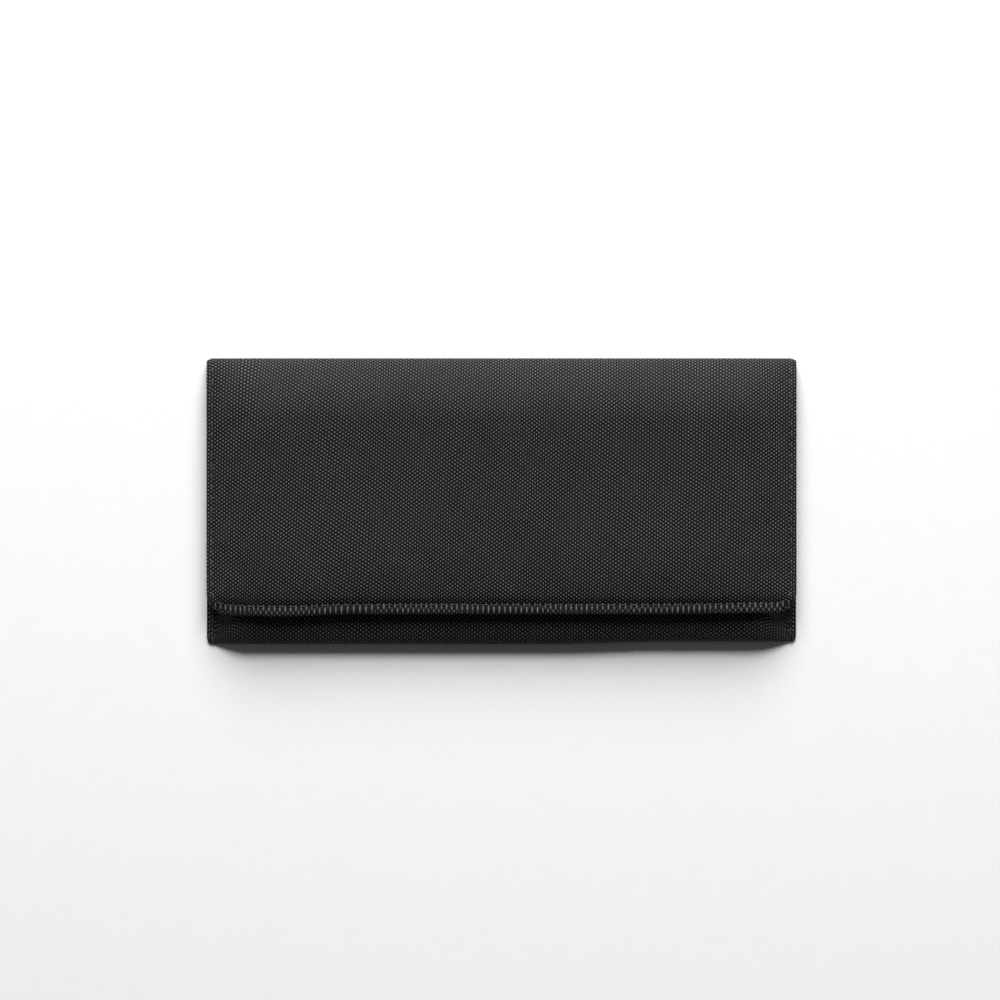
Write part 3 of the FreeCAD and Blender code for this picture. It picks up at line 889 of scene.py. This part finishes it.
pouchRows.append((pouchPoints[mouth], pouchNormals[mouth]))
pouchStitches = stitchRow("pouch_stitches", pouchRows, "lowerFold")
print("pouch made")

# linings inside the pouch
inner = {"side": 3.4, "bottom": 1.2, "upper": 0.85, "lower": 1.1}
innerSide = halfWidth - inner["side"] * mm
xsInner = graded(-innerSide, innerSide, 0.8 * mm, 3.5 * mm, 18 * mm)
frontUpper = pouchGrid(xsInner, inner["upper"] * mm, inner["bottom"] * mm, backToo=False)
frontLower = pouchGrid(xsInner, inner["lower"] * mm, inner["bottom"] * mm, backToo=False)
frontLining = slab("front_lining_sheet", frontUpper, frontLower, clothMap(frontUpper, lean=False),
                   finishes["taffetaLining"])
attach(frontLining, "pouch")
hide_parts("front_lining")
liningLow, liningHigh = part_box("back_lining")
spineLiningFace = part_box("spine_lining")[0].y
xsBack = graded(liningLow.x, liningHigh.x, 0.8 * mm, 4 * mm, 6 * mm)


def backLiningGrid(lift):
    # rows run up the back, round the fold and up the spine, and are handed back from the top down
    rows = []
    fold = 1.2 * mm + lift
    face = spineLiningFace + 0.25 * mm - lift
    floorHeight = liningLow.z + lift

    def addRow(y, z):
        rows.append(np.stack([xsBack, np.full_like(xsBack, y), z + np.zeros_like(xsBack)], 1))
    for t in graded(0, 1, 0.02, 0.05, 0.06):
        addRow(liningLow.y + (face - fold - liningLow.y) * t, floorHeight)
    for a in np.linspace(0, np.pi / 2, 9)[1:]:
        addRow(face - fold * (1 - math.sin(a)), floorHeight + fold * (1 - math.cos(a)))
    middle = outside["spineJoin"] * flapHeight(xsBack)
    start = floorHeight + fold
    for t in (0.5, 1):
        addRow(face, start + (middle - start) * t)
    return np.array(rows)[::-1]


backUpper = backLiningGrid(0.27 * mm)
backLining = slab("back_lining_sheet", backUpper, backLiningGrid(0.02 * mm),
                  clothMap(backUpper, lean=False), finishes["taffetaLining"])
fasten(backLining, "liningLowerFold")
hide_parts("back_lining")
print("linings made")


# Flat sewn plies, in millimetres.
ply = {
    "stitch": 1.6,           # stitch line to edge
    "dent": 0.08,            # how deep and how wide the stitches pull the cloth in
    "dentWidth": 0.5,
    "hemRise": 0.14,         # a folded hem stands higher,
    "hemStitch": 1.4,        # and is sewn this far above its raw edge
    "hemDent": 0.1,
    "hemDentWidth": 0.45,
    "centreDent": 0.12,      # the seam up the middle of the card pockets
    "centreDentWidth": 0.6,
    "thinnest": 0.12,
    "waveFade": 5.0,         # the waves fade out this near to a sewn edge
}


def flatPly(name, node, material, ride, hem=None, stitchSides=(), wave=0.05, lift=0.0,
            centre=False):
    # a flat sewn ply in the place of its CAD node, with a folded hem and stitch rows
    low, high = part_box(node)
    xs = graded(low.x, high.x, 0.5 * mm, 3.0 * mm, min(6 * mm, (high.x - low.x) / 4))
    if centre:
        xs = np.concatenate([xs[np.abs(xs) > 4 * mm], np.linspace(-4 * mm, 4 * mm, 17)])
        xs.sort()
    ys = graded(low.y, high.y, 0.5 * mm, 2.5 * mm, min(9 * mm, (high.y - low.y) / 4))[::-1]
    x, y = np.meshgrid(xs, ys)
    soft = wave * mm * (np.sin(x / mm * 0.09 + 0.5) * np.sin(y / mm * 0.13 + x / mm * 0.02))
    inside = np.minimum(np.minimum(x - low.x, high.x - x), y - low.y)
    soft = soft * np.clip(inside / (ply["waveFade"] * mm), 0, 1)
    top = high.z + lift + soft
    if hem:
        fromTop = (high.y - y) / mm
        top += ply["hemRise"] * mm * (1 - ramp(fromTop, hem - 0.6, hem + 0.4))
        offStitch = (fromTop - hem + ply["hemStitch"]) / ply["hemDentWidth"]
        top -= ply["hemDent"] * mm * np.exp(-offStitch ** 2)
    if centre:
        top -= ply["centreDent"] * mm * np.exp(-(x / (ply["centreDentWidth"] * mm)) ** 2)
    for side in stitchSides:
        distance = {"left": x - low.x, "right": high.x - x, "bottom": y - low.y, "top": high.y - y}[side]
        offStitch = (distance - ply["stitch"] * mm) / (ply["dentWidth"] * mm)
        top -= ply["dent"] * mm * np.exp(-offStitch ** 2)
    upper = np.stack([x, y, top], 2)
    lower = np.stack([x, y, np.minimum(low.z + lift + soft, top - ply["thinnest"] * mm)], 2)
    piece = slab(name, upper, lower, clothMap(upper, lean=False), material)
    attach(piece, ride)
    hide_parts(node)
    lines = []
    normals = surfaceNormals(upper)

    def sewAcross(at, count):
        places = np.linspace(low.x + 1 * mm, high.x - 1 * mm, count)
        lines.append(stitchLine(upper, normals, places, np.full(count, at)))

    def sewDown(at, count):
        places = np.linspace(low.y + 1 * mm, high.y - 1 * mm, count)
        lines.append(stitchLine(upper, normals, np.full(count, at), places))
    edge = ply["stitch"] * mm
    if hem:
        sewAcross(high.y - (hem - ply["hemStitch"]) * mm, int((high.x - low.x) / (2 * mm)))
    for side in stitchSides:
        if side in ("left", "right"):
            sewDown(low.x + edge if side == "left" else high.x - edge, 60)
        else:
            sewAcross(low.y + edge if side == "bottom" else high.y - edge, 120)
    if centre:
        sewDown(0.0, 50)
    if lines:
        stitches = stitchRow(name + "_stitches", lines, ride, stitching["pocketPitch"],
                             stitching["pocketSize"])
    return piece


for name in ("low", "mid", "top"):
    sewn = ("left", "right", "bottom") if name == "low" else ("left", "right")
    piece = flatPly("card_pocket_" + name + "_ply", "card_pocket_" + name, finishes["heavyPolyester"],
                    "pouch", hem=7, stitchSides=sewn, centre=True)
    low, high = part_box("card_pocket_" + name)
for name, hem in (("back", None), ("front", 6), ("strip", None)):
    piece = flatPly("zip_pocket_" + name + "_ply", "zip_pocket_" + name, finishes["taffetaLining"],
                    "pouch", hem=hem,
                    stitchSides=("bottom",) if name == "strip" else (), wave=0.04)
    low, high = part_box("zip_pocket_" + name)
for part in ("lower", "upper"):
    flatPly("zipper_tape_" + part + "_ply", "zipper_tape_" + part, finishes["zipperTape"], "pouch",
            wave=0.03)
for side in ("left", "right"):
    flatPly("hook_patch_" + side + "_pad", "hook_patch_" + side, finishes["hookTape"], "pouch",
            stitchSides=("left", "right", "bottom", "top"), wave=0.02, lift=-0.12 * mm)
    flatPly("loop_patch_" + side + "_pad", "loop_patch_" + side, finishes["loopTape"], "flap",
            wave=0.02, lift=0.02 * mm)
print("pockets, tapes and patches made")

# zipper coils: two flattened nylon helices whose turns mesh with each other
coil = {
    "pitch": 1.3,
    "wire": 0.27,            # the wire's radius
    "width": 2.25,
    "height": 0.95,
    "shift": 0.15,           # each row moves this much towards the other
    "spread": 0.25,          # and reaches this much past its width, so that the turns mesh
    "sink": 0.1,
    "endGap": 0.3,
}
for part, phase in (("lower", 0.0), ("upper", 0.5)):
    low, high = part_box("zipper_coil_" + part)
    turns = int((high.x - low.x) / (coil["pitch"] * mm))
    angle = np.linspace(0, 2 * np.pi * turns, turns * 14)
    x = low.x + (angle / (2 * np.pi) + phase) * coil["pitch"] * mm
    keep = x < high.x - coil["endGap"] * mm
    angle, x = angle[keep], x[keep]
    middle = 0.5 * (low.y + high.y) + (coil["shift"] if part == "lower" else -coil["shift"]) * mm
    width = coil["width"] / 2 * mm - coil["wire"] * mm + coil["spread"] * mm
    y = middle + width * np.cos(angle)
    z = 0.5 * (low.z + high.z) - coil["sink"] * mm
    z = z + (coil["height"] / 2 - coil["wire"]) * mm * np.sin(angle)
    points, faces = tube(np.stack([x, y, z], 1), coil["wire"] * mm, 6)
    piece = makeObject("zipper_coil_" + part + "_turns", points, faces, points[:, :2],
                       [finishes["nylonCoil"]])
    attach(piece, "pouch")
    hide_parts("zipper_coil_" + part)
print("zipper made")

# slider, pull and end stops: the cast shapes with softened edges, and a raised oval rim on the pull
metal = {
    "edge": 0.28,            # how far edges sharper than this angle are rounded off
    "sharpDegrees": 40,
    "rimPlace": 3.4,         # from the pull's free end
    "rimLength": 2.1,        # half its length and half its width
    "rimWidth": 1.5,
    "rimSize": 0.35,
}


def castPiece(name, node, body):
    piece = bpy.data.objects.new(name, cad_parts[node].data.copy())
    scene.collection.objects.link(piece)
    piece.data.materials.clear()
    piece.data.materials.append(finishes["enamelledZinc"])
    weld = piece.modifiers.new("weld", "WELD")
    weld.merge_threshold = 0.01 * mm
    soft = piece.modifiers.new("soft edges", "BEVEL")
    soft.width = metal["edge"] * mm
    soft.segments = 3
    soft.limit_method = "ANGLE"
    soft.angle_limit = math.radians(metal["sharpDegrees"])
    soft.use_clamp_overlap = True
    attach(piece, body)
    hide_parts(node)


castPiece("zipper_slider_cast", "zipper_slider", "slider")
castPiece("zipper_pull_cast", "zipper_pull", "pull")
for end in ("left", "right"):
    castPiece("zipper_stop_" + end + "_cast", "zipper_stop_" + end, "pouch")
pullLow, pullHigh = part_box("zipper_pull")
rim = []
for a in np.linspace(0, 2 * np.pi, 41):
    rim.append((pullLow.x + metal["rimPlace"] * mm + metal["rimLength"] * mm * math.cos(a),
                (pullLow.y + pullHigh.y) / 2 + metal["rimWidth"] * mm * math.sin(a), pullHigh.z))
points, faces = tube(rim, metal["rimSize"] * mm, 8, closedEnds=False)
pullRim = makeObject("zipper_pull_rim", points, faces, points[:, :2], [finishes["enamelledZinc"]])
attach(pullRim, "pull")
print("slider and pull made")

cadFinishes = {"back_board": "polyethyleneBoard"}
for node, finish in cadFinishes.items():
    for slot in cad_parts[node].material_slots:
        slot.material = finishes[finish]

# floor, lights and camera
stage = {
    "floorGrey": "fefefe",
    "floorHalf": 4.0,        # metres
    "floorDrop": 0.1,        # millimetres under the object
    "keyPower": 135.0,       # watts, from a wide soft lamp beyond the top fold
    "keyElevation": 32.8,    # degrees, and to the right of the fold's middle
    "keySide": 2.0,
    "keyDistance": 2.6,      # metres
    "keySize": 2.0,
    "fill": 0.06,            # light from all round, and how bright the backdrop looks
    "backdrop": 0.85,
    "cameraHeight": 1.8,     # metres, straight above
    "cameraX": -0.56,        # millimetres
    "cameraY": 0.19,
    "lens": 173.4,
}
floorMaterial = grainedSurface("pale_paper", "f9f9f9", stage["floorGrey"], 1.5, 0.9, 0.01, {"IOR": 1.45})
half, level = stage["floorHalf"], -stage["floorDrop"] * mm
corners = [(-half, -half, level), (half, -half, level), (half, half, level), (-half, half, level)]
floor = makeObject("floor", corners, [(0, 1, 2, 3)], None, [floorMaterial])
key = bpy.data.lights.new("key", "AREA")
key.shape = "DISK"
key.size = stage["keySize"]
key.energy = stage["keyPower"]
keyObject = bpy.data.objects.new("key", key)
scene.collection.objects.link(keyObject)
elevation, turn = math.radians(stage["keyElevation"]), math.radians(stage["keySide"])
direction = Vector((math.sin(turn) * math.cos(elevation), math.cos(turn) * math.cos(elevation),
                    math.sin(elevation)))
keyObject.location = direction * stage["keyDistance"]
keyObject.rotation_euler = direction.to_track_quat("Z", "Y").to_euler()
world = bpy.data.worlds.new("studio")
world.use_nodes = True
sky = world.node_tree.nodes["Background"]
sky.inputs["Color"].default_value = (1, 1, 1, 1)
seen = addNode(world.node_tree, "ShaderNodeLightPath", {}).outputs["Is Camera Ray"]
# the backdrop looks pale where it is seen past the floor, but lights the object only faintly
strength = addNode(world.node_tree, "ShaderNodeMapRange", {3: stage["fill"], 4: stage["backdrop"]},
                   {0: seen})
world.node_tree.links.new(strength.outputs[0], sky.inputs["Strength"])
scene.world = world
camera = bpy.data.cameras.new("camera")
camera.lens = stage["lens"]
camera.sensor_width = 36
cameraObject = bpy.data.objects.new("camera", camera)
scene.collection.objects.link(cameraObject)
cameraObject.location = (stage["cameraX"] * mm, stage["cameraY"] * mm, stage["cameraHeight"])
scene.camera = cameraObject
print("stage set")
